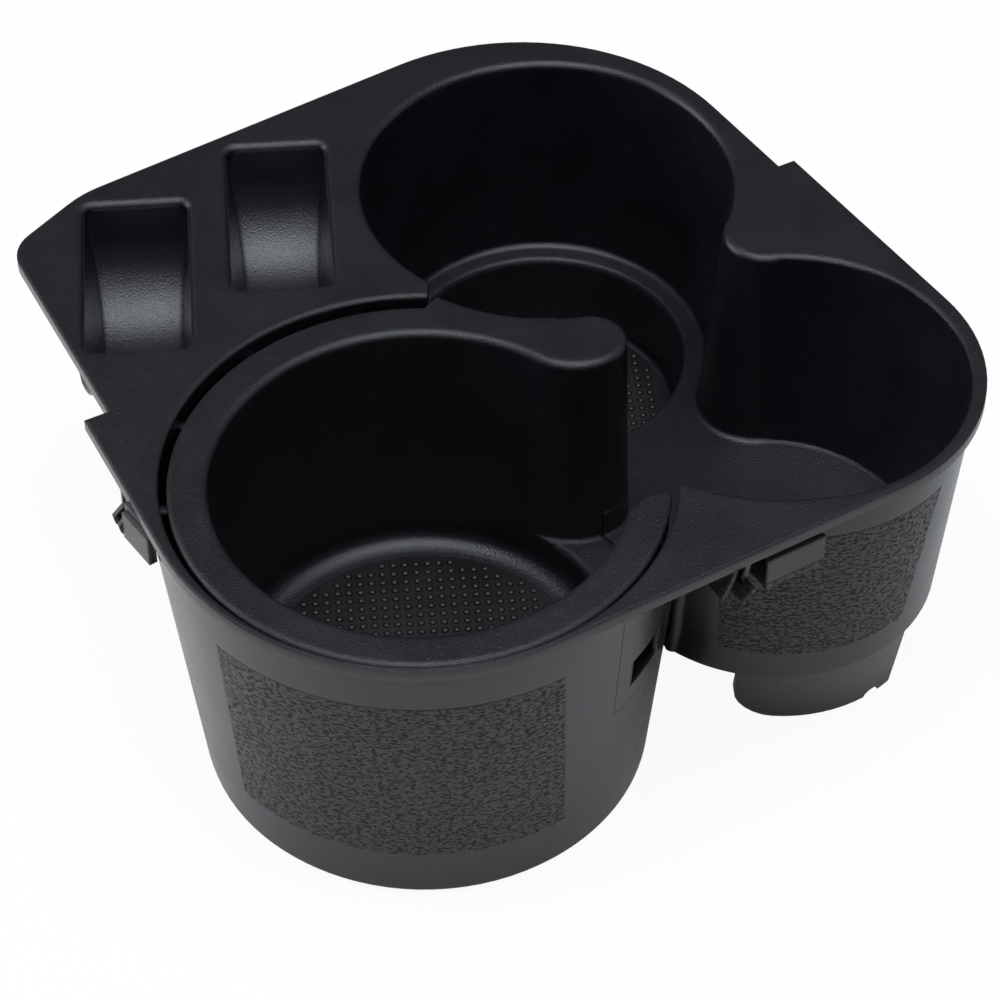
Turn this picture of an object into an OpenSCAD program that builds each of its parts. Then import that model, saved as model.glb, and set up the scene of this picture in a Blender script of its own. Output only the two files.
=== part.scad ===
// A cup holder insert for a car console: a moulded tub with a drop-in liner and two loose mats.
// Lengths are in millimetres. The base stands on z = 0, the back of the part is +Y.

/* [Tub] */
// Height of the deck above the surface the tub stands on
deck_z = 81; // [74:1:90]
// Thickness of the deck and of its outer rim
deck_t = 2.8; // [2:0.1:4]
// Wall thickness of the moulded tub
wall = 2.2; // [1.6:0.1:2.6]
// Height of the shared shelf between the wells
shelf_z = 26; // [22:0.5:30]
// Thickness of the shelf
shelf_t = 3.2; // [2.6:0.1:3.8]

/* [Front well] */
// Radius of the bore that takes the liner's flange
seat_r = 56.8; // [56.4:0.1:57]
// Depth of that bore below the deck
seat_d = 5; // [4:0.5:7]
// Outer radius of the pot at its base
pot_r = 51; // [50:0.5:51.5]
// Number of ribs that carry the flange
pot_ribs = 10; // [6:1:10]

/* [Rear well] */
// Radius of the rear well's wall just under its rounded top edge
rear_r = 44; // [43:0.5:44.5]
// Radius of the lower pocket at the shelf
pocket_r = 34.2; // [32:0.1:35]
// Height of the lower pocket's floor
pocket_z = 6.6; // [4.4:0.1:12]

/* [Right well] */
// Radius of the right well's wall just under its rounded top edge
side_r = 38.5; // [37.5:0.5:39]

/* [Coin pockets] */
// Half length of each pocket's rounded floor, which is also its depth
coin_r = 25; // [20:0.5:25.5]
// Width of the outer pocket at the deck
coin_w1 = 24.6; // [20:0.2:25]
// Width of the inner pocket at the deck
coin_w2 = 23.8; // [20:0.2:24.4]
// Slope of the pockets' side walls, as run over rise
coin_draft = 0.13; // [0.05:0.01:0.18]

/* [Liner] */
// Radius of the cup's wall just under its rounded lip
cup_r = 46.1; // [45:0.1:46.4]
// Height of the top face of the cup's floor
cup_z = 16; // [14:0.5:20]
// Outer radius of the flange
flange_r = 55; // [54:0.1:55]
// Thickness of the liner
skin = 2; // [1.6:0.1:2.2]

/* [Mats] */
// Thickness of the two mats
mat_t = 1.4; // [1:0.1:2]
// Radius of the liner's mat
mat_f = 38; // [34:0.5:39]
// Radius of the rear mat
mat_b = 31; // [28:0.5:32]

/* [Hidden] */

// Axes of the wells, with the front cup's axis at the origin.
rear = [36.5, 96];
side = [86.3, 26.2];
nose = [85.5, 74.4];

// Circles of the deck's outline, anticlockwise from the front, each as x, y and radius.
deck_back = [[0, 4.2, 54.6], [86.4, 27.3, 38.3], [30.7, 94.1, 55], [-56, 79, 27], [-77.7, 80, 10.2]];
deck_front = [[0, 4.1, 60.4], [86.4, 27.3, 42.5], [30.7, 94.1, 59.3], [-77.6, 80, 15.7]];
// The line on which the narrow back outline takes over from the wide front one.
step_a = [-72.1, 24.1];
step_b = [95.8, 98.9];

// The box around everything, for standing the part on the middle of its base.
x_lo = deck_back[4][0] - deck_back[4][2];
x_hi = deck_front[1][0] + deck_front[1][2];
y_lo = deck_front[0][1] - deck_front[0][2];
y_hi = deck_back[2][1] + deck_back[2][2];

band_z = deck_z - deck_t;
seat_z = deck_z - seat_d;

// Points of a rounded corner as four flats, from angle a to angle b about c.
function arc(c, r, a, b) = [for (i = [0:4]) c + r * [cos(a + (b - a) * i / 4), sin(a + (b - a) * i / 4)]];

// Bearing of the outer normal of the straight run between two outline circles.
function bearing(p, q) =
    atan2(q[1] - p[1], q[0] - p[0]) - acos((p[2] - q[2]) / norm([q[0] - p[0], q[1] - p[1]]));
function rim_point(c, a, r) = [c[0] + r * cos(a), c[1] + r * sin(a)];
function next(cs, i) = cs[(i + 1) % len(cs)];
function prev(cs, i) = cs[(i + len(cs) - 1) % len(cs)];

// A flat outline around circles: their outer tangents and the circles themselves.
module outline(cs, grow = 0) {
    polygon([for (i = [0:len(cs) - 1], e = [0, 1])
        let (a = e == 0 ? bearing(prev(cs, i), cs[i]) : bearing(cs[i], next(cs, i)))
        rim_point(cs[i], a, cs[i][2] + grow)]);
    for (c = cs)
        translate([c[0], c[1]])
            circle(r = c[2] + grow, $fn = 64);
}

// A strip of the given section that follows the outline at height z; the section's x points outwards.
module strip(cs, z, section) {
    for (i = [0:len(cs) - 1]) {
        c = cs[i];
        a0 = bearing(prev(cs, i), c);
        a1 = bearing(c, next(cs, i));
        sweep = (a1 - a0 + 720) % 360;
        translate([c[0], c[1], z])
            rotate([0, 0, a0])
                rotate_extrude(angle = sweep, $fn = 64)
                    translate([c[2], 0])
                        polygon(section);
        p = rim_point(c, a1, c[2]);
        q = rim_point(next(cs, i), a1, next(cs, i)[2]);
        translate([p[0], p[1], z])
            rotate([0, 0, a1])
                rotate([90, 0, 180])
                    mirror([1, 0, 0])
                        linear_extrude(norm(q - p))
                            polygon(section);
    }
}

// A straight round cone from centre a to centre b, run on past both ends.
module tilted(a, ra, b, rb, past) {
    d = b - a;
    n = norm(d);
    g = (rb - ra) / n;
    translate(a)
        rotate([0, acos(d[2] / n), atan2(d[1], d[0])])
            translate([0, 0, -past])
                cylinder(h = n + 2 * past, r1 = ra - g * past, r2 = rb + g * past, $fn = 64);
}

// A well's inside: floor at z0, radius r0 there and r1 at the deck, rounded foot and flared lip.
module well(r0, r1, z0, foot, lip) {
    rotate_extrude($fn = 64)
        polygon(concat(
            [[0, z0]],
            arc([r0 - foot, z0 + foot], foot, -90, 0),
            arc([r1 + lip, deck_z - lip], lip, 180, 90),
            [[r1 + lip, deck_z + 2], [0, deck_z + 2]]));
}

// A slab between two heights.
module slab(z0, z1) {
    translate([0, 0, z0])
        linear_extrude(z1 - z0)
            children();
}

// A wedge that opens to the right at the slant of the pot's cut edge, y0 at the deck and y1 at the shelf.
module slant(y0, y1, x0, x1) {
    k = (y1 - y0) / (deck_z - shelf_z);
    translate([x1, 0, 0])
        rotate([90, 0, -90])
            linear_extrude(x1 - x0)
                polygon([[-y0 + 2 * k, deck_z + 2], [-y1 - 4 * k, shelf_z - 4],
                         [-80, shelf_z - 4], [-80, deck_z + 2]]);
}

// The floor plan of the open space between the three wells.
module commons() {
    polygon([[0, 0], [57.5, 3.5], side, nose, rear]);
}

// The corner between the right well and the pot, where the wall sweeps in towards its foot.
module tongue(grow, z_top, z_foot) {
    tilted([82.8, 25.4, z_foot], 35.5 + grow, [81.5, 33.5, z_top], 46 + grow, 12);
}
module tongue_plan() {
    polygon([[30, 0], [57.5, -7.6], [59, -14], [90, -20], side, [57, 20]]);
}

// The rounded top edge of a round opening of radius r, as a cutter.
module lip_cut(r, lip) {
    rotate_extrude($fn = 64)
        polygon(concat(
            [[0, deck_z - lip]],
            arc([r + lip, deck_z - lip], lip, 180, 90),
            [[r + lip, deck_z + 2], [0, deck_z + 2]]));
}

// The bulge between the rear and right wells.
module nose_post(shrink, z0) {
    lip = 1.5;
    translate([nose[0], nose[1], 0])
        rotate_extrude($fn = 48)
            polygon(concat(
                [[0, z0]],
                arc([13.6 - shrink + 1.2, shelf_z + 1.2], 1.2, -90, -180),
                arc([9.8 - shrink - lip, deck_z - lip], lip, 0, 90),
                [[0, deck_z]]));
}

// The finger of the liner between the front and rear wells, as a solid block or, with skin s, its hollow.
// Its front side leaves the cup's wall on a curve about the heel and runs on round the tip.
module finger(s, z0, z1) {
    lip = s > 0 ? 0.3 : 1.4;
    tip = [41.8, 41.4];
    heel = [38.29, 47.1];
    heel_r = norm(heel) - cup_r + 0.05;
    tip_r = heel_r - norm(heel - tip) + 0.02;
    back_r = norm(rear - tip) - tip_r + 0.02;
    intersection() {
        union() {
            translate([tip[0], tip[1], 0])
                finger_post(tip_r - s, lip);
            intersection() {
                translate([heel[0], heel[1], 0])
                    finger_post(heel_r - s, lip);
                slab(shelf_z - 5, deck_z + 1)
                    polygon([heel, for (a = [229, 265, 300]) heel + 40 * [cos(a), sin(a)]]);
            }
            difference() {
                slab(shelf_z - 4, deck_z)
                    polygon([[0, 0], heel, tip, tip + 0.35 * (rear - tip),
                             [9, 62], [7.6 + 0.5 * s, 57.6], [4.2 + s, 53.8]]);
                translate([rear[0], rear[1], 0])
                    well(back_r - 1.7 + s, back_r + s, shelf_z - 6, 1, lip);
            }
        }
        slab(z0, z1)
            square(200, center = true);
    }
}

// A round end of the finger: radius r under its rounded top edge, widening downwards like the cup narrows.
module finger_post(r, lip) {
    rotate_extrude($fn = 48)
        polygon(concat(
            [[0, shelf_z - 4], [r + 0.0285 * (deck_z - lip - shelf_z + 4), shelf_z - 4]],
            arc([r - lip, deck_z - lip], lip, 0, 90),
            [[0, deck_z]]));
}

// One coin pocket's space: a drum lying along X, narrowed by drafted sides and rounded corners.
module coin(w, grow, top) {
    d = coin_draft;
    intersection() {
        translate([-w, 0, deck_z])
            rotate([0, 90, 0])
                cylinder(h = 2 * w, r = coin_r + grow, $fn = 64);
        translate([0, 60, 0])
            rotate([90, 0, 0])
                linear_extrude(120)
                    polygon([
                        [-w / 2 - grow - d * (top - deck_z), top], [w / 2 + grow + d * (top - deck_z), top],
                        [w / 2 + grow - d * 30, deck_z - 30], [-w / 2 - grow + d * 30, deck_z - 30]]);
        slab(deck_z - 40, top)
            outline(coin_corners(w), grow);
    }
}
function coin_corners(w) = [
    [-w / 2 + 2.5, -coin_r + 2.5, 2.5], [w / 2 - 2.5, -coin_r + 2.5, 2.5],
    [w / 2 - 2.5, coin_r - 2.5, 2.5], [-w / 2 + 2.5, coin_r - 2.5, 2.5]];

// Places a clip: its x runs along the rim, its y points inwards from the rim's edge.
module on_rim(a, out) {
    rotate([0, 0, a])
        translate([0, -out, 0])
            children();
}

// A thin rib standing across the rim, drawn from points of distance inwards and drop below the rim.
module rib(x, t, points) {
    translate([x, 0, band_z])
        rotate([90, 0, 90])
            linear_extrude(t)
                polygon([for (p = points) [p[0], -p[1]]]);
}

// A clip block: a shell open towards the part and, if wanted, at its far end, with a neck just under the rim.
module block(x0, x1, deep, drop, end = 1.6) {
    difference() {
        union() {
            translate([x0, 0, band_z - drop])
                cube([x1 - x0, deep, drop - 2.2]);
            translate([x0, 0.8, band_z - 3])
                cube([x1 - x0, deep - 0.8, 3.2]);
        }
        translate([x0 + 1.6, 2, band_z - drop - 1])
            cube([x1 - x0 - 1.6 - end, deep, drop + 1]);
    }
}

module tub() {
    color([0.07, 0.07, 0.08])
    translate([-(x_lo + x_hi) / 2, -(y_lo + y_hi) / 2, 0])
    difference() {
        union() {
            difference() {
                tub_outside();
                tub_inside();
            }
            pot_rib_set();
            island();
        }
        // The slot in the pot's right wall.
        rotate([0, 0, -31.5])
            translate([40, -5.8, 46.8])
                cube([30, 11.6, 8]);
    }
}

module tub_outside() {
    slab(band_z, deck_z)
        outline(deck_back);
    intersection() {
        slab(band_z, deck_z)
            outline(deck_front);
        slab(band_z - 1, deck_z + 1)
            polygon([step_a, [-150, -10], [-150, -150], [200, -150], [200, 145], step_b]);
    }
    difference() {
        tilted([0.6, 0, 0], pot_r, [0, 4, band_z], 59.8, 3);
        translate([0, 0, -10])
            cylinder(h = 10, r = 80);
        translate([0, 0, deck_z - 1])
            cylinder(h = 10, r = 80);
        // Rounded foot of the pot.
        translate([0.6, 0, 0])
            rotate_extrude($fn = 64)
                polygon(concat(
                    [[pot_r + 6, -1], [pot_r - 3.6, -1]],
                    arc([pot_r - 3.6, 4], 4, -90, 0),
                    [[pot_r + 6, 4.4]]));
    }
    // Housing of the rear well and its lower pocket.
    translate([rear[0], rear[1], shelf_z - shelf_t])
        cylinder(h = band_z + 0.5 - shelf_z + shelf_t, r1 = rear_r - 4.2 + wall, r2 = rear_r + wall, $fn = 64);
    translate([rear[0], rear[1], pocket_z - wall])
        cylinder(h = shelf_z - pocket_z + wall - 1,
                 r1 = pocket_r - 1.7 + wall, r2 = pocket_r + wall, $fn = 64);
    // Housing of the right well, with the swept corner beside the pot.
    intersection() {
        union() {
            tilted([83.1, 26.3, shelf_z - 4], 38.5, [85.7, 26.9, band_z], 40.9, 4);
            intersection() {
                tongue(wall, deck_z - 1.5, shelf_z);
                slab(10, deck_z)
                    polygon([[40, 1], [52, -14], [59, -16], [97, -27], side, [57, 20]]);
            }
            tilted([57.2, -0.5, shelf_z - 4], 1.8, [59.2, -7.4, band_z], 1.8, 4);
        }
        slab(shelf_z - shelf_t - 0.6, band_z + 0.5)
            translate([80, 20])
                square(160, center = true);
    }
    // Shelf and the web that closes the gap between the pot and the rear housing.
    difference() {
        slab(shelf_z - shelf_t, band_z + 0.5)
            polygon([[2.4, 50], [30, 20], [57.5, 3.5], side, nose, rear, [8, 72], [2.4, 68]]);
        nose_post(wall, shelf_z - shelf_t - 1);
        translate([nose[0], nose[1], shelf_z - shelf_t - 1])
            cylinder(h = shelf_t + 1.6, r = 13.6 - wall + 0.9, $fn = 48);
    }
    for (p = [[-60.4, 71.2, coin_w1], [-27, 89.5, coin_w2]])
        translate([p[0], p[1], 0])
            coin(p[2], wall, band_z + 0.5);
    skirt();
    clips();
}

module tub_inside() {
    // Seat of the liner's flange and the inside of the pot.
    translate([0, 1.85, seat_z])
        cylinder(h = seat_d + 1, r = seat_r, $fn = 64);
    translate([0, 1.85, 0])
        lip_cut(seat_r, 0.7);
    intersection() {
        tilted([0.6, 0, 0], pot_r - wall, [0, 4, band_z], 59.8 - wall, 3);
        slab(2.4, seat_z + 0.4)
            circle(r = 80);
    }
    // The open side of the pot, wide enough for the sill and the finger.
    intersection() {
        translate([0, 0, shelf_z - skin])
            cylinder(h = deck_z, r = flange_r + 0.1, $fn = 64);
        union() {
            slant(-7.8, 2.6, 20, 80);
            slab(shelf_z - skin, deck_z + 2)
                polygon([[0, 0], [80, 8], [60, 70], [5.7, 64]]);
        }
    }
    slab(shelf_z, deck_z + 2)
        polygon([[0, 0], rear, [10, 72], [6.2, 64]]);
    slab(shelf_z, seat_z + 0.4)
        intersection() {
            translate([0, 1.85])
                circle(r = seat_r, $fn = 64);
            polygon([[0, 0], [80, 8], [60, 70], [5.7, 64]]);
        }
    difference() {
        union() {
            translate([rear[0], rear[1], 0])
                well(rear_r - 4.2, rear_r, shelf_z, 1.2, 1.5);
            intersection() {
                tilted([side[0] - 3.7, side[1] - 1.2, shelf_z], side_r - 2.9,
                       [side[0], side[1], deck_z - 1.5], side_r + 0.3, 6);
                slab(shelf_z, deck_z + 1)
                    square(400, center = true);
            }
            translate([side[0], side[1], 0])
                lip_cut(side_r + 0.1, 1.4);
            slab(shelf_z, deck_z + 2)
                commons();
            intersection() {
                union() {
                    tongue(0, deck_z - 1.5, shelf_z);
                    translate([81.5, 33.5, 0])
                        lip_cut(46, 1.5);
                }
                slab(shelf_z, deck_z + 1)
                    tongue_plan();
                slant(-8, 2.4, 20, 58);
            }
            intersection() {
                union() {
                    tongue(0, deck_z - 1.5, shelf_z);
                    translate([81.5, 33.5, 0])
                        lip_cut(46, 1.5);
                }
                slab(shelf_z, deck_z + 1)
                    polygon([[57.9, -30], [90, -20], side, [57.9, 20]]);
            }
        }
        nose_post(0, shelf_z - 1);
    }
    // Lower pocket of the rear well.
    translate([rear[0], rear[1], 0])
        rotate_extrude($fn = 64)
            polygon(concat(
                [[0, pocket_z]],
                arc([pocket_r - 3.2, pocket_z + 1.5], 1.5, -90, 0),
                [[pocket_r - 0.3, shelf_z - 1], [pocket_r + 0.5, shelf_z + 0.02], [0, shelf_z + 0.02]]));
    for (p = [[-60.4, 71.2, coin_w1], [-27, 89.5, coin_w2]])
        translate([p[0], p[1], 0]) {
            coin(p[2], 0, deck_z + 1);
            strip(coin_corners(p[2]), deck_z, flare_section(1.5));
        }
}

function flare_section(r) = concat([[-1, 1], [-1, -r]], arc([r, -r], r, 180, 90), [[r, 1]]);

// Ribs down the inside of the pot; the flange's ring stands on their tops.
module pot_rib_set() {
    intersection() {
        for (i = [0:pot_ribs - 1])
            rotate([0, 0, 100 + i * 240 / (pot_ribs - 1)])
                translate([40, -1, 0])
                    cube([22, 2, seat_z]);
        tilted([0.6, 0, 0], pot_r - wall + 0.6, [0, 4, band_z], 59.8 - wall + 0.6, 3);
        difference() {
            slab(2, seat_z)
                circle(r = 80);
            tilted([0.4, 0.2, 2], pot_r - wall, [0, 0.6, seat_z], flange_r - 2, 1);
        }
    }
}

// The post on the shelf that carries the end of the liner's finger.
module island() {
    difference() {
        finger(0, shelf_z - 0.5, shelf_z + 7.5);
        translate([0, 0, shelf_z - 5])
            cylinder(h = 20, r = flange_r + 0.1, $fn = 64);
    }
}

// The skirt under the right well: a curved foot with a flat right side, open towards the pot.
module skirt() {
    difference() {
        skirt_form(0);
        skirt_form(wall);
        slab(-20, 0)
            translate([85, 30])
                square(120, center = true);
        slab(shelf_z - 1, shelf_z + 30)
            translate([85, 30])
                square(120, center = true);
        translate([0, 120, 0])
            rotate([90, 0, 0])
                linear_extrude(240)
                    polygon(concat(
                        [[30, 40], [30, -5], [81, -5]],
                        [for (i = [0:6]) [81, 9.5] - 9.5 * [sin(i * 15), cos(i * 15)]],
                        [[71.5, 40]]));
        // Drain notch.
        translate([87, 30.5, 0])
            rotate([0, 0, -59])
                rotate([0, 90, 0])
                    cylinder(h = 50, r = 2.2, $fn = 32);
    }
}

// The skirt's cone with its flat side, smaller all round by the given amount.
module skirt_form(less) {
    intersection() {
        tilted([87, 30.5, 0], 34.2 - less, [84.8, 27, shelf_z - shelf_t], 36.8 - less, 10 + less);
        translate([0, 120, 0])
            rotate([90, 0, 0])
                linear_extrude(240)
                    polygon([[30, -14], [108.1 - less, -14], [114 - less, 40], [30, 40]]);
    }
}

module clips() {
    // Right side: a gusset, a hooked rib and a block.
    on_rim(26.67, 56.5) {
        rib(45.3, 1, [[0.4, -0.2], [1.7, 5.7], [5, 14.2], [14, 14.4], [14, -0.2]]);
        rib(48.4, 1.1, [[0.4, -0.2], [2, 6.9], [-1.5, 6.9], [-1.5, 7.9], [1.8, 13.6], [12, 13.8], [12, -0.2]]);
        block(53.4, 68.5, 9, 10.8);
    }
    // Left side: two barbed ribs and a block turned slightly out of the rim's line.
    on_rim(-68.3, 58.7) {
        for (x = [-29.2, -26.1])
            rib(x, 1.2, [[0.3, -0.2], [0.3, 5.2], [-2.2, 7.6], [-1.9, 9.4],
                         [-1, 11], [1.4, 9.4], [8, 9.6], [8, -0.2]]);
        translate([-13.4, 0, 0])
            rotate([0, 0, 9])
                block(-10.6, 0, 9, 10, -1);
    }
}

module liner() {
    color([0.03, 0.03, 0.035])
    translate([-(x_lo + x_hi) / 2, -(y_lo + y_hi) / 2, 0])
    difference() {
        union() {
            difference() {
                liner_outside();
                liner_opening();
            }
            // Sill across the open side.
            intersection() {
                difference() {
                    slab(shelf_z - skin, shelf_z)
                        circle(r = flange_r - 0.3, $fn = 64);
                    slab(shelf_z - skin - 1, shelf_z + 1)
                        circle(r = 40, $fn = 64);
                }
                slab(shelf_z - skin, shelf_z)
                    polygon([[0, 0], [4.4, 60], [60, 70], [80, 5], [30, 3.6]]);
            }
            difference() {
                finger(0, shelf_z, deck_z);
                finger(skin, shelf_z - 3, deck_z - skin);
                difference() {
                    translate([0, 0, shelf_z - 1])
                        cylinder(h = 8.5, r = 80);
                    translate([0, 0, shelf_z - 2])
                        cylinder(h = 12, r = flange_r - 0.3, $fn = 64);
                }
            }
        }
        well(cup_r - 1.4 - 0.3, cup_r, cup_z, 4, 1.4);
        // Rounded inner edge of the sill.
        rotate([0, 0, -13.5])
            rotate_extrude(angle = 56, $fn = 64)
                polygon(concat(
                    [[cup_r - 5, shelf_z - 1.2]],
                    arc([cup_r - 0.3, shelf_z - 1.2], 1.2, 180, 90),
                    [[cup_r - 0.3, shelf_z + 1], [cup_r - 5, shelf_z + 1]]));
    }
}

module liner_outside() {
    rotate_extrude($fn = 64)
        polygon(concat(
            [[0, cup_z - skin], [cup_r - 5, cup_z - skin]],
            arc([cup_r - 4.4, cup_z + 3.4], 4.7, -80, -5),
            [[cup_r + skin, deck_z - skin], [flange_r - 1.6, deck_z - skin],
             [flange_r - 1.6, seat_z], [flange_r, seat_z]],
            arc([flange_r - 0.8, deck_z - 0.8], 0.8, 0, 90),
            [[0, deck_z]]));
}

// The C-shaped mouth of the cup, with a rounded end on the flange.
module liner_opening() {
    mouth_a = 50.4;
    slab(shelf_z, deck_z - skin + 0.1)
        polygon([[0, 0], [76.95, -21.45], [110, 30], 120 * [cos(mouth_a), sin(mouth_a)]]);
    difference() {
        slab(deck_z - skin, deck_z + 1)
            polygon([[0, 0], [51.3, -14.3], [51.3, -9.1], [90, -3.6], 120 * [cos(mouth_a), sin(mouth_a)]]);
        translate([51.3, -14.3, shelf_z - 1])
            cylinder(h = 60, r = 5.2, $fn = 40);
    }
}

module liner_mat() {
    color([0.09, 0.09, 0.09])
        translate([0.5 - (x_lo + x_hi) / 2, -(y_lo + y_hi) / 2, cup_z])
            mat(mat_f);
}

module rear_mat() {
    color([0.09, 0.09, 0.09])
        translate([rear[0] - (x_lo + x_hi) / 2, rear[1] - (y_lo + y_hi) / 2, pocket_z])
            mat(mat_b);
}

module mat(r) {
    rotate_extrude($fn = 64)
        polygon([[0, 0], [r, 0], [r, mat_t - 0.4], [r - 0.4, mat_t], [0, mat_t]]);
}

tub();
liner();
liner_mat();
rear_mat();
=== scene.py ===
import math

import bmesh
import bpy
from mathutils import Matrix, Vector


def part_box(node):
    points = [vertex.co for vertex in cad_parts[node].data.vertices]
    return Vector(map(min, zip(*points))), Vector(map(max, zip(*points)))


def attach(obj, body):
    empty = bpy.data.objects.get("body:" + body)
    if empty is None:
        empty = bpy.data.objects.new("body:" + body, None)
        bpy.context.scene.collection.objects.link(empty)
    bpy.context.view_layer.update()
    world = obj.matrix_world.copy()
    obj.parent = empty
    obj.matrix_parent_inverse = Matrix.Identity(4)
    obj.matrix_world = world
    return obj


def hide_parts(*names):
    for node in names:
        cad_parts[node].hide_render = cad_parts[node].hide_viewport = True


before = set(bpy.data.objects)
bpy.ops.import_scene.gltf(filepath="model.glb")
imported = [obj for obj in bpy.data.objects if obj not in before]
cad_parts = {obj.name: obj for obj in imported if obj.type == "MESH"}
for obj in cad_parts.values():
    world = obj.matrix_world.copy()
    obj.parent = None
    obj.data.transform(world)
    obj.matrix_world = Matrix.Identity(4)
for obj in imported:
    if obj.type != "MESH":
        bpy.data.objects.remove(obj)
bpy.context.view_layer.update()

scene = bpy.context.scene
scene.view_settings.view_transform = "Standard"

MM = 0.001
FLOAT, VECTOR = "NodeSocketFloat", "NodeSocketVector"

# The photograph's camera, in the part's own frame.
camera_data = bpy.data.cameras.new("photo_camera")
camera = bpy.data.objects.new("photo_camera", camera_data)
scene.collection.objects.link(camera)
scene.camera = camera
camera_data.sensor_width = 36
camera_data.lens = 133.2
camera_data.clip_start = 0.05
camera_data.clip_end = 20
camera.location = (-0.0494, -0.6131, 0.6507)
camera.rotation_mode = "QUATERNION"
camera.rotation_quaternion = Vector((0.0573, 0.6990, -0.7129)).to_track_quat("-Z", "Y")


# ---- Node helpers

class Tree:
    """Adds nodes to a material's or a group's tree and joins them."""

    def __init__(self, tree):
        self.tree = tree

    def add(self, kind, outlet=0, inputs=None, **settings):
        node = self.tree.nodes.new(kind)
        for key, value in settings.items():
            setattr(node, key, value)
        for key, value in (inputs or {}).items():
            self.feed(node.inputs[key], value)
        return node.outputs[outlet]

    def feed(self, socket, value):
        if isinstance(value, bpy.types.NodeSocket):
            self.tree.links.new(value, socket)
        else:
            socket.default_value = value

    def math(self, operation, a, b=0.0, c=0.0, clamp=False):
        return self.add("ShaderNodeMath", inputs={0: a, 1: b, 2: c},
                        operation=operation, use_clamp=clamp)

    def ramp(self, value, low, high, start=0.0, end=1.0):
        """A smooth step from start at low to end at high."""
        return self.add(
            "ShaderNodeMapRange", interpolation_type="SMOOTHSTEP",
            inputs={"Value": value, "From Min": low, "From Max": high,
                    "To Min": start, "To Max": end})

    def blend(self, factor, a, b):
        node = self.tree.nodes.new("ShaderNodeMix")
        node.data_type = "RGBA"
        self.feed(node.inputs["Factor"], factor)
        for name, value in (("A", a), ("B", b)):
            socket = next(s for s in node.inputs if s.name == name and s.type == "RGBA")
            self.feed(socket, value)
        return next(s for s in node.outputs if s.type == "RGBA")


def new_group(name, inputs, outputs):
    """An empty node group with named sockets.

    Inputs are (name, kind, default) and outputs are (name, kind).
    """
    group = bpy.data.node_groups.new(name, "ShaderNodeTree")
    for label, kind, default in inputs:
        socket = group.interface.new_socket(label, in_out="INPUT", socket_type=kind)
        socket.default_value = default
    for label, kind in outputs:
        group.interface.new_socket(label, in_out="OUTPUT", socket_type=kind)
    tree = Tree(group)
    entry = group.nodes.new("NodeGroupInput")
    leave = group.nodes.new("NodeGroupOutput")
    return group, tree, entry.outputs, leave.inputs


# The share of round pits in the grain's height, and the patches to a metre in its slow patchiness.
PIT_SHARE = 0.5
PATCH_SCALE = 55.0

# Wrinkles of the grain panels: cells to a metre, their squeeze along the wall, and their waviness.
WRINKLE_SCALE = 1750.0
WRINKLE_SQUEEZE = 0.50
WRINKLE_WAVE = 0.7
# The furrow that closes a panel's top, and the least distance from the axis as a share of the radius.
TOP_FURROW = 0.35 * MM
OUTER_SHARE = 0.93

# Rays cast at a point to ease its edge.
EASE_SAMPLES = 3


def fine_grain_group():
    """The fine satin grain of a spark-eroded mould, of a size given in millimetres.

    It puts out a height, and a slow patchiness for colour and gloss.
    """
    group, t, given, out = new_group(
        "fine grain", [("Grain", FLOAT, 0.35)], [("Height", FLOAT), ("Patches", FLOAT)])
    place = t.add("ShaderNodeTexCoord", "Object")
    scale = t.math("DIVIDE", 1000.0, given["Grain"])
    coarse = t.add("ShaderNodeTexNoise", 0,
                   {"Vector": place, "Scale": scale, "Detail": 2.0, "Roughness": 0.6})
    pits = t.add("ShaderNodeTexVoronoi", 0, {"Vector": place, "Scale": scale})
    t.feed(out["Height"], t.math("MULTIPLY_ADD", pits, PIT_SHARE, coarse))
    slow = t.add("ShaderNodeTexNoise", 0,
                 {"Vector": place, "Scale": PATCH_SCALE, "Detail": 4.0, "Roughness": 0.65})
    t.feed(out["Patches"], t.ramp(slow, 0.3, 0.7))
    return group


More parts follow.
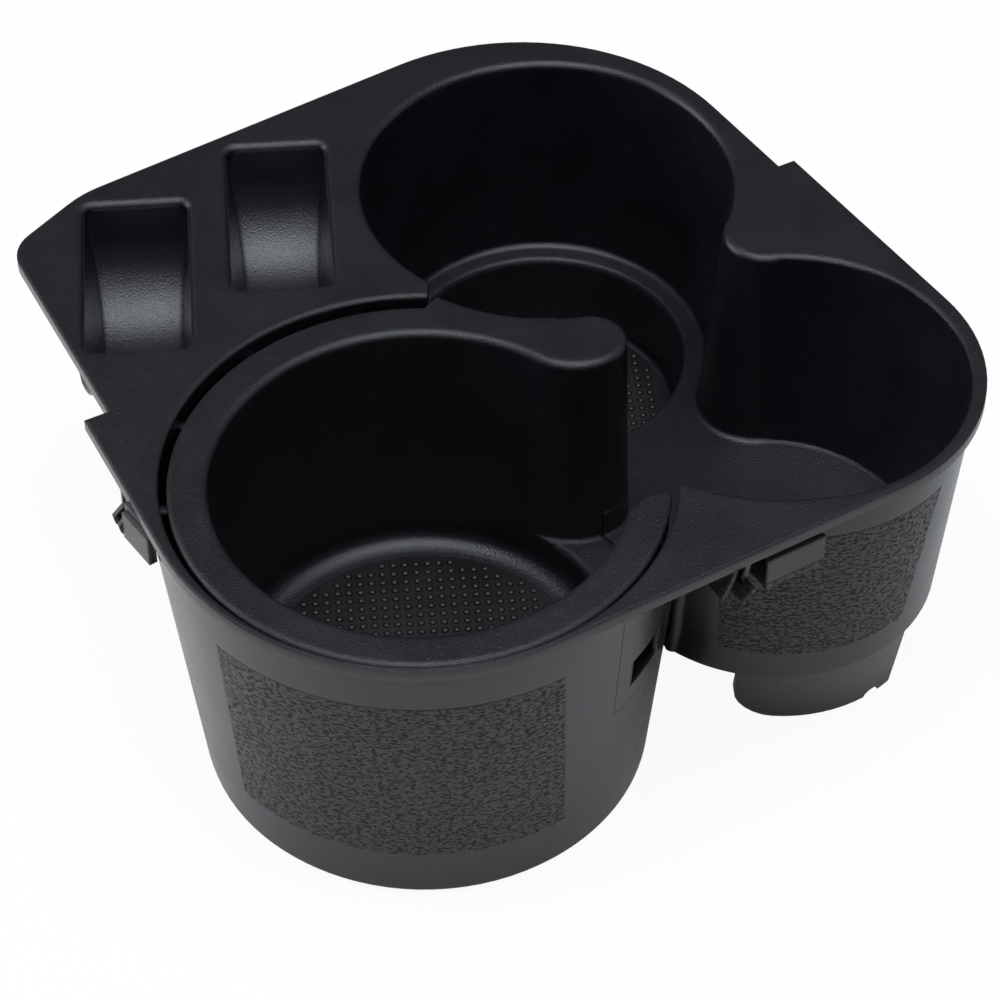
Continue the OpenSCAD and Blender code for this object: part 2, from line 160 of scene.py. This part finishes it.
def leather_panel_group():
    """A panel of wavy leather-like wrinkles on a round wall.

    It lies between two bearings in degrees, of which the second leans, and two heights.
    """
    group, t, given, out = new_group(
        "leather panel",
        [("Axis X", FLOAT, 0.0), ("Axis Y", FLOAT, 0.0), ("Radius", FLOAT, 0.05),
         ("From", FLOAT, -140.0), ("To", FLOAT, -60.0), ("Lean", FLOAT, 0.0),
         ("Bottom", FLOAT, 0.02), ("Top", FLOAT, 0.06)],
        [("Mask", FLOAT), ("Height", FLOAT)])
    place = t.add("ShaderNodeTexCoord", "Object")
    split = t.tree.nodes.new("ShaderNodeSeparateXYZ")
    t.feed(split.inputs[0], place)
    x = t.math("SUBTRACT", split.outputs["X"], given["Axis X"])
    y = t.math("SUBTRACT", split.outputs["Y"], given["Axis Y"])
    z = split.outputs["Z"]
    bearing = t.math("ARCTAN2", y, x)
    degrees = t.math("MULTIPLY", bearing, 180 / math.pi)
    along = t.math("MULTIPLY", bearing, given["Radius"])
    # The panel's border: bearings, with a right side that may lean, and heights.
    drop = t.math("SUBTRACT", given["Top"], z)
    right = t.math("MULTIPLY_ADD", drop, given["Lean"], given["To"])
    sides = t.math("MULTIPLY",
                   t.math("GREATER_THAN", degrees, given["From"]),
                   t.math("LESS_THAN", degrees, right))
    ends = t.math("MULTIPLY",
                  t.math("GREATER_THAN", z, given["Bottom"]),
                  t.math("LESS_THAN", z, given["Top"]))
    # Only the outer face of the wall, far enough from the axis and turned away from it.
    spoke = t.add("ShaderNodeCombineXYZ", inputs={0: x, 1: y})
    reach = t.add("ShaderNodeVectorMath", "Value", {0: spoke}, operation="LENGTH")
    normal = t.add("ShaderNodeNewGeometry", "Normal")
    away = t.add("ShaderNodeVectorMath", "Value", {0: spoke, 1: normal}, operation="DOT_PRODUCT")
    least = t.math("MULTIPLY", given["Radius"], OUTER_SHARE)
    outside = t.math("MULTIPLY",
                     t.math("GREATER_THAN", reach, least), t.math("GREATER_THAN", away, 0.0))
    t.feed(out["Mask"], t.math("MULTIPLY", t.math("MULTIPLY", sides, ends), outside))
    # Wrinkles: the low places of a noise stretched along the wall, as short wavy furrows.
    flat = t.add("ShaderNodeCombineXYZ", inputs={0: t.math("MULTIPLY", along, WRINKLE_SQUEEZE), 1: z})
    waves = t.add("ShaderNodeTexNoise", 0,
                  {"Vector": flat, "Scale": WRINKLE_SCALE, "Detail": 0.0, "Distortion": WRINKLE_WAVE})
    # A thin furrow closes the panel's top.
    below = t.math("GREATER_THAN", drop, TOP_FURROW)
    t.feed(out["Height"], t.math("MULTIPLY", t.ramp(waves, 0.41, 0.50), below))
    return group


def edge_ease_and_highlight_group():
    """The normal with every edge eased, and a mask of the edges, which a painted highlight makes paler,
    and which are glossier.
    """
    group, t, given, out = new_group(
        "edge ease and highlight", [("Ease", FLOAT, 0.0006)], [("Normal", VECTOR), ("Mask", FLOAT)])
    eased = t.add("ShaderNodeBevel", 0, {"Radius": given["Ease"]}, samples=EASE_SAMPLES)
    true = t.add("ShaderNodeNewGeometry", "Normal")
    same = t.add("ShaderNodeVectorMath", "Value", {0: eased, 1: true}, operation="DOT_PRODUCT")
    t.feed(out["Normal"], eased)
    t.feed(out["Mask"], t.ramp(same, 0.995, 0.8))
    return group


FINE_GRAIN = fine_grain_group()
LEATHER_PANEL = leather_panel_group()
EDGE_EASE_AND_HIGHLIGHT = edge_ease_and_highlight_group()


def use(tree, group, **values):
    """Puts a group into a tree, with its sockets set by name; an underscore stands for a space."""
    node = tree.tree.nodes.new("ShaderNodeGroup")
    node.node_tree = group
    for key, value in values.items():
        tree.feed(node.inputs[key.replace("_", " ")], value)
    return node.outputs


def new_material(name):
    """A node material, with its tree and its own shader."""
    material = bpy.data.materials.new(name)
    material.use_nodes = True
    tree = Tree(material.node_tree)
    return material, tree, material.node_tree.nodes["Principled BSDF"]


# ---- Materials

# Grain panels on the pot and on the right well's housing: metres, and degrees of bearing.
POT_PANEL = dict(Axis_X=-0.0202, Axis_Y=-0.0444, Radius=0.0555, From=-143.0, To=-61.5,
                 Lean=60.0, Bottom=0.0152, Top=0.0672)
HOUSING_PANEL = dict(Axis_X=0.0639, Axis_Y=-0.0198, Radius=0.0397, From=-117.5, To=-40.3,
                     Lean=-240.0, Bottom=0.0302, Top=0.0692)

# The fine line of a mould insert on the pot's right: down at one bearing, then along to the right.
INSERT_BEARING = math.radians(-45.0)
INSERT_END = math.radians(-33.0)
INSERT_TOP, INSERT_FOOT = 72.5 * MM, 41.5 * MM
INSERT_LINE = 0.3 * MM

# How deep the bump is for a height of one, on the plastic and on the rubber.
PLASTIC_RELIEF = 0.09 * MM
RUBBER_RELIEF = 0.02 * MM

# Colours of the plastics and the rubber, dark and light ends of their patchiness.
TUB_BLACKS = (0.0050, 0.0053, 0.0072, 1), (0.0072, 0.0076, 0.0100, 1)
LINER_BLACKS = (0.0050, 0.0053, 0.0070, 1), (0.0072, 0.0076, 0.0096, 1)
RUBBER_BLACKS = (0.0014, 0.0015, 0.0020, 1), (0.0028, 0.0030, 0.0038, 1)
PANEL_COLOUR = (0.010, 0.0105, 0.0130, 1)
# Painted shade in the panels' wrinkle creases, which is also the dark of the insert's line.
CREASE_SHADE_AND_SEAM_COLOUR = (0.001, 0.001, 0.0013, 1)
# Painted highlights on the eased edges of the tub and of the liner.
TUB_EDGE_HIGHLIGHT_COLOUR = (0.035, 0.036, 0.040, 1)
LINER_EDGE_HIGHLIGHT_COLOUR = (0.030, 0.031, 0.034, 1)


def insert_line(t):
    """A mask of the mould insert's line on the pot."""
    place = t.add("ShaderNodeTexCoord", "Object")
    x, y, z = (t.add("ShaderNodeSeparateXYZ", axis, {0: place}) for axis in "XYZ")
    bearing = t.math("ARCTAN2", t.math("SUBTRACT", y, POT_PANEL["Axis_Y"]),
                     t.math("SUBTRACT", x, POT_PANEL["Axis_X"]))
    turn = t.math("ABSOLUTE", t.math("SUBTRACT", bearing, INSERT_BEARING))
    off = t.math("MULTIPLY", turn, POT_PANEL["Radius"])
    between = t.math("MULTIPLY",
                     t.math("GREATER_THAN", z, INSERT_FOOT), t.math("LESS_THAN", z, INSERT_TOP))
    down = t.math("MULTIPLY", t.math("LESS_THAN", off, INSERT_LINE / 2), between)
    height = t.math("ABSOLUTE", t.math("SUBTRACT", z, INSERT_FOOT))
    reach = t.math("MULTIPLY", t.math("GREATER_THAN", bearing, INSERT_BEARING),
                   t.math("LESS_THAN", bearing, INSERT_END))
    along = t.math("MULTIPLY", t.math("LESS_THAN", height, INSERT_LINE / 2), reach)
    return t.math("MAXIMUM", down, along)


def tub_plastic():
    """Black moulded plastic: satin grain on what faces up, smoother walls, two panels of leather grain."""
    material, t, shader = new_material("tub")
    grain = use(t, FINE_GRAIN, Grain=0.42)
    edge = use(t, EDGE_EASE_AND_HIGHLIGHT, Ease=0.0014)
    pot = use(t, LEATHER_PANEL, **POT_PANEL)
    housing = use(t, LEATHER_PANEL, **HOUSING_PANEL)
    facing = t.add("ShaderNodeSeparateXYZ", "Z", {0: t.add("ShaderNodeNewGeometry", "Normal")})
    deck = t.ramp(facing, 0.35, 0.8)
    panel = t.math("MAXIMUM", pot["Mask"], housing["Mask"])
    crease = t.math("ADD", t.math("MULTIPLY", pot["Mask"], pot["Height"]),
                    t.math("MULTIPLY", housing["Mask"], housing["Height"]))
    hollow = t.math("MAXIMUM", t.math("SUBTRACT", panel, crease), insert_line(t))
    # Colour: blue-black, patchy, paler on the edges from a painted highlight, darker down in the creases
    # from painted shade, dark along the insert's line.
    colour = t.blend(grain["Patches"], *TUB_BLACKS)
    colour = t.blend(t.math("MULTIPLY", panel, 0.3), colour, PANEL_COLOUR)
    # Painted shade darkens the wrinkles' creases; the insert's line is darkened with it.
    colour = t.blend(hollow, colour, CREASE_SHADE_AND_SEAM_COLOUR)
    # Painted highlight: the eased edges are lightened.
    colour = t.blend(t.math("MULTIPLY", edge["Mask"], 0.5), colour, TUB_EDGE_HIGHLIGHT_COLOUR)
    t.feed(shader.inputs["Base Color"], colour)
    # Roughness: satin deck, smoother walls and edges, matt panels and creases.
    rough = t.ramp(deck, 0.0, 1.0, 0.24, 0.33)
    rough = t.math("MULTIPLY_ADD", grain["Patches"], 0.05, rough)
    rough = t.math("MULTIPLY_ADD", panel, 0.1, rough)
    rough = t.math("MULTIPLY_ADD", edge["Mask"], -0.06, rough)
    rough = t.math("MULTIPLY_ADD", hollow, 0.4, rough, clamp=True)
    t.feed(shader.inputs["Roughness"], rough)
    # Relief: fine grain on the deck, nearly none on the walls, wrinkles in the panels.
    fine = t.math("MULTIPLY", grain["Height"], t.math("MULTIPLY_ADD", deck, 0.85, 0.15))
    relief = t.math("MULTIPLY_ADD", hollow, -3.2, fine)
    bump = t.add("ShaderNodeBump", 0, {"Height": relief, "Normal": edge["Normal"],
                                       "Strength": 1.0, "Distance": PLASTIC_RELIEF})
    t.feed(shader.inputs["Normal"], bump)
    return material


def liner_plastic():
    """The liner's darker plastic, with the same satin grain all over."""
    material, t, shader = new_material("liner")
    grain = use(t, FINE_GRAIN, Grain=0.38)
    edge = use(t, EDGE_EASE_AND_HIGHLIGHT, Ease=0.0018)
    colour = t.blend(grain["Patches"], *LINER_BLACKS)
    # Painted highlight: the eased edges are lightened.
    colour = t.blend(t.math("MULTIPLY", edge["Mask"], 0.5), colour, LINER_EDGE_HIGHLIGHT_COLOUR)
    t.feed(shader.inputs["Base Color"], colour)
    t.feed(shader.inputs["Roughness"], t.math("MULTIPLY_ADD", grain["Patches"], 0.06, 0.30))
    bump = t.add("ShaderNodeBump", 0, {"Height": grain["Height"], "Normal": edge["Normal"],
                                       "Strength": 1.0, "Distance": PLASTIC_RELIEF})
    t.feed(shader.inputs["Normal"], bump)
    return material


def mat_rubber():
    """Matt black rubber with a very fine grain."""
    material, t, shader = new_material("mat")
    grain = use(t, FINE_GRAIN, Grain=0.25)
    t.feed(shader.inputs["Base Color"], t.blend(grain["Patches"], *RUBBER_BLACKS))
    t.feed(shader.inputs["Roughness"], t.math("MULTIPLY_ADD", grain["Patches"], 0.1, 0.5))
    bump = t.add("ShaderNodeBump", 0,
                 {"Height": grain["Height"], "Strength": 0.6, "Distance": RUBBER_RELIEF})
    t.feed(shader.inputs["Normal"], bump)
    return material


for name, material in (("tub", tub_plastic()), ("liner", liner_plastic())):
    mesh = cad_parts[name].data
    mesh.materials.clear()
    mesh.materials.append(material)


# ---- Mats with raised studs

STUD_PITCH = 2.7 * MM
STUD_RADIUS = 0.95 * MM
STUD_RISE = 0.6 * MM
# The least distance of a stud's axis from the mat's edge.
STUD_MARGIN = 1.6 * MM
MAT_BASE = 0.85 * MM
MAT_ROUNDING = 0.35 * MM
MAT_SEGMENTS, STUD_SEGMENTS = 96, 10


def lathe(bm, profile, segments, at=(0, 0, 0)):
    """Turns a profile of (radius, height) points, whose ends lie on the axis, about an upright axis."""
    centre = Vector(at)
    rings = []
    for radius, height in profile:
        if radius == 0:
            rings.append([bm.verts.new(centre + Vector((0, 0, height)))])
        else:
            turns = [2 * math.pi * i / segments for i in range(segments)]
            points = [Vector((radius * math.cos(a), radius * math.sin(a), height)) for a in turns]
            rings.append([bm.verts.new(centre + point) for point in points])
    for low, high in zip(rings, rings[1:]):
        for i in range(segments):
            j = (i + 1) % segments
            corners = [low[i % len(low)], low[j % len(low)],
                       high[j % len(high)], high[i % len(high)]]
            bm.faces.new(list(dict.fromkeys(corners)))


def studded_mat(name, node, material):
    """A round mat with rows of low domed studs, which takes the place of a plain CAD mat."""
    low, high = (Vector(corner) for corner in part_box(node))
    centre = (low + high) / 2
    radius = (high.x - low.x) / 2
    bm = bmesh.new()
    rim = MAT_ROUNDING
    lathe(bm, [(0, 0), (radius, 0), (radius, MAT_BASE - rim),
               (radius - 0.3 * rim, MAT_BASE - 0.3 * rim), (radius - rim, MAT_BASE), (0, MAT_BASE)],
          MAT_SEGMENTS, (centre.x, centre.y, low.z))
    # A stud's profile starts a little below the mat's top, inside it.
    dome = [(0, -0.1 * MM)]
    for angle in (math.radians(a) for a in (-8, 30, 60)):
        dome.append((STUD_RADIUS * math.cos(angle), STUD_RISE * math.sin(angle)))
    dome.append((0, STUD_RISE))
    steps = int(radius / STUD_PITCH)
    for i in range(-steps, steps + 1):
        for j in range(-steps, steps + 1):
            x, y = i * STUD_PITCH, j * STUD_PITCH
            if math.hypot(x, y) < radius - STUD_MARGIN:
                lathe(bm, dome, STUD_SEGMENTS, (centre.x + x, centre.y + y, low.z + MAT_BASE))
    bmesh.ops.recalc_face_normals(bm, faces=bm.faces)
    mesh = bpy.data.meshes.new(name)
    bm.to_mesh(mesh)
    bm.free()
    for face in mesh.polygons:
        face.use_smooth = len(face.vertices) < 5
    mat = bpy.data.objects.new(name, mesh)
    scene.collection.objects.link(mat)
    mesh.materials.append(material)
    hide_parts(node)
    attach(mat, "root")


rubber = mat_rubber()
studded_mat("liner_mat_studded", "liner_mat", rubber)
studded_mat("rear_mat_studded", "rear_mat", rubber)


# ---- Floor, lights and surroundings

# How far the white paper is lifted towards plain white, as the camera sees it and in reflections.
SEEN_SHARE = 0.94
MIRRORED_SHARE = 0.12
LEFT_MIRRORED_SHARE = 1.0
# The reflections change from the left share to the plain one between these two places across.
LEFT_END, LEFT_START = -0.13, -0.05
PAPER = (0.75, 0.75, 0.75, 1)
WORLD_LIGHT = 0.12

def floor_white():
    """White paper, lifted towards plain white where the camera sees it, so that only soft shadows stay."""
    material, t, shader = new_material("floor")
    shader.inputs["Base Color"].default_value = PAPER
    shader.inputs["Roughness"].default_value = 0.7
    glow = t.tree.nodes.new("ShaderNodeEmission")
    glow.inputs["Strength"].default_value = 1.0
    mix = t.tree.nodes.new("ShaderNodeMixShader")
    seen = t.math("MULTIPLY", t.add("ShaderNodeLightPath", "Is Camera Ray"), SEEN_SHARE)
    # In reflections the paper is brighter on the left, where the photograph's paper catches more light.
    across = t.add("ShaderNodeSeparateXYZ", "X", {0: t.add("ShaderNodeTexCoord", "Object")})
    share = t.ramp(across, LEFT_END, LEFT_START, LEFT_MIRRORED_SHARE, MIRRORED_SHARE)
    mirrored = t.math("MULTIPLY", t.add("ShaderNodeLightPath", "Is Glossy Ray"), share)
    t.feed(mix.inputs[0], t.math("ADD", seen, mirrored))
    t.feed(mix.inputs[1], shader.outputs[0])
    t.feed(mix.inputs[2], glow.outputs[0])
    t.feed(t.tree.nodes["Material Output"].inputs["Surface"], mix.outputs[0])
    return material


bpy.ops.mesh.primitive_plane_add(size=12, location=(0, 0, 0))
floor = bpy.context.object
floor.name = "floor"
floor.data.materials.append(floor_white())


# Watts, metres and a cool white. The lamps light the part evenly from above, weakly from the sides.
MIDDLE = (0.0, 0.0, 0.05)
LAMP_COLOUR = (0.90, 0.95, 1.0)
LAMPS = (
    ("overhead", (0.0, -0.12, 1.5), (1.1, 0.75), 22),
    ("front_top", (0.0, -0.70, 1.30), (0.9, 0.30), 2.6),
    ("left_side", (-1.2, 0.15, 0.45), (0.9, 0.7), 10),
    ("right_side", (1.5, 0.1, 0.7), (0.9, 0.9), 2),
)


def softbox(name, at, size, power):
    """A rectangular lamp that faces the part's middle and that the camera doesn't see."""
    data = bpy.data.lights.new(name, "AREA")
    data.shape = "RECTANGLE"
    data.size, data.size_y = size
    data.energy = power
    data.color = LAMP_COLOUR
    lamp = bpy.data.objects.new(name, data)
    scene.collection.objects.link(lamp)
    lamp.location = at
    lamp.rotation_mode = "QUATERNION"
    lamp.rotation_quaternion = (Vector(MIDDLE) - Vector(at)).to_track_quat("-Z", "Y")
    lamp.visible_camera = False


for lamp_facts in LAMPS:
    softbox(*lamp_facts)

world = bpy.data.worlds.new("studio")
scene.world = world
world.use_nodes = True
sky = Tree(world.node_tree)
background = world.node_tree.nodes["Background"]
background.inputs[0].default_value = (1, 1, 1, 1)
seen = sky.add("ShaderNodeLightPath", "Is Camera Ray")
sky.feed(background.inputs[1], sky.math("MULTIPLY_ADD", seen, 1.0 - WORLD_LIGHT, WORLD_LIGHT))
